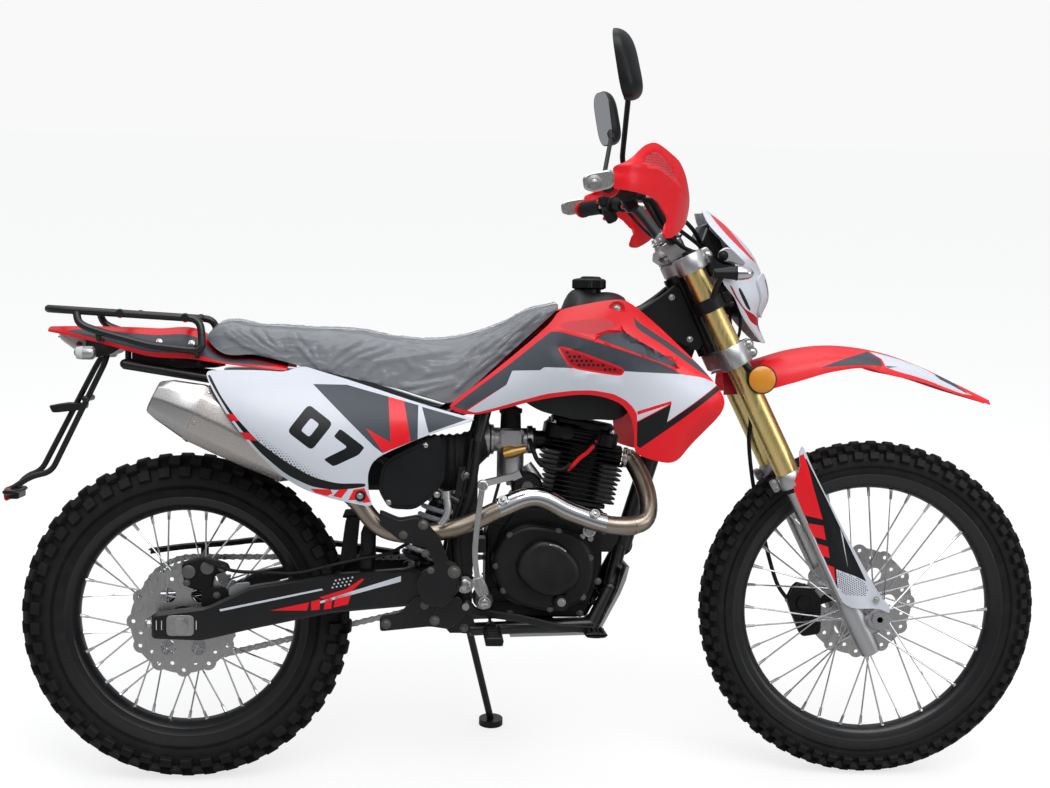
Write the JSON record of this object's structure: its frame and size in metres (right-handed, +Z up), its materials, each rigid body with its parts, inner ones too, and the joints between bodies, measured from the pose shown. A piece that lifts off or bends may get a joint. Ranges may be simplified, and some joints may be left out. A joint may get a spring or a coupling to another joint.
{
  "type": "off-road motorcycle",
  "caption": "Light off-road motorcycle with knobbly tyres, long-travel fork, single-cylinder engine and rear rack, leaning on its side stand. Wheels, steering and stand move.",
  "frame": {"origin": "centre of the bounding box, on the floor", "axes": "+X forward, +Y to the left (the side it leans to), +Z up"},
  "size_m": [2.0698, 0.9624, 1.4717],
  "materials": {
    "red_plastic": "gloss",
    "white_plastic": "gloss",
    "black_paint": "satin",
    "dark_alloy": "satin",
    "black_plastic": "matte",
    "silver_alloy": "satin",
    "steel": "satin",
    "chrome": "polished",
    "gold_anodised": "satin",
    "chain_steel": "satin",
    "seat_vinyl": "satin",
    "grip_rubber": "matte",
    "tyre_rubber": "matte",
    "lamp_lens": "gloss",
    "lamp_body": "satin"
  },
  "bodies": {
    "chassis": {"frame": "black_paint", "skid_plate": "silver_alloy", "crankcase": "dark_alloy", "engine_top": "black_paint", "engine_covers": "dark_alloy", "kick_lever": "steel", "carburettor": "silver_alloy", "airbox": "black_plastic", "exhaust_pipe": "steel", "heat_shield": "chrome", "muffler": "steel", "fuel_tank": "black_plastic", "head_covers": "black_plastic", "shrouds": "red_plastic", "seat": "seat_vinyl", "side_panels": "white_plastic", "tail": "red_plastic", "rack": "black_paint", "rear_lamps": "lamp_lens", "plate_bracket": "black_paint", "inner_fender": "black_plastic", "swingarm": "black_paint", "rear_shock": "dark_alloy", "chain": "chain_steel", "rear_caliper": "dark_alloy", "rear_axle": "steel", "foot_controls": "dark_alloy"},
    "rear_wheel": {"rear_tyre": "tyre_rubber", "rear_rim": "black_paint", "rear_hub": "silver_alloy", "rear_disc": "steel", "rear_sprocket": "steel"},
    "steering": {"yokes": "silver_alloy", "fork_tubes": "gold_anodised", "fork_legs": "steel", "handlebar": "black_paint", "hand_controls": "grip_rubber", "hand_guards": "red_plastic", "mirrors": "black_plastic", "headlight_mask": "white_plastic", "headlamp": "lamp_lens", "front_lamps": "lamp_body", "front_fender": "red_plastic", "fork_guards": "white_plastic", "front_caliper": "dark_alloy", "front_axle": "steel"},
    "front_wheel": {"front_tyre": "tyre_rubber", "front_rim": "black_paint", "front_hub": "silver_alloy", "front_disc": "steel"},
    "stand": {"side_stand": "black_paint"}
  },
  "joints": [
    {"name": "rear_wheel_spin", "type": "hinge", "parent": "chassis", "child": "rear_wheel", "pos_m": [-0.6835, -0.16301, 0.32266], "axis": [0, 0.9877, -0.1564], "continuous": true},
    {"name": "steering", "type": "hinge", "parent": "chassis", "child": "steering", "pos_m": [0.32189, -0.06666, 0.93098], "axis": [-0.4462, 0.14, 0.8839], "range_deg": [-37, 43]},
    {"name": "front_wheel_spin", "type": "hinge", "parent": "steering", "child": "front_wheel", "pos_m": [0.69142, -0.1635, 0.34093], "axis": [0.0468, 0.99, -0.1332], "continuous": true},
    {"name": "side_stand_swing", "type": "hinge", "parent": "chassis", "child": "stand", "pos_m": [-0.1235, -0.0314, 0.27144], "axis": [0.17, 0.94, 0.2959], "range_deg": [0, 95]}
  ]
}
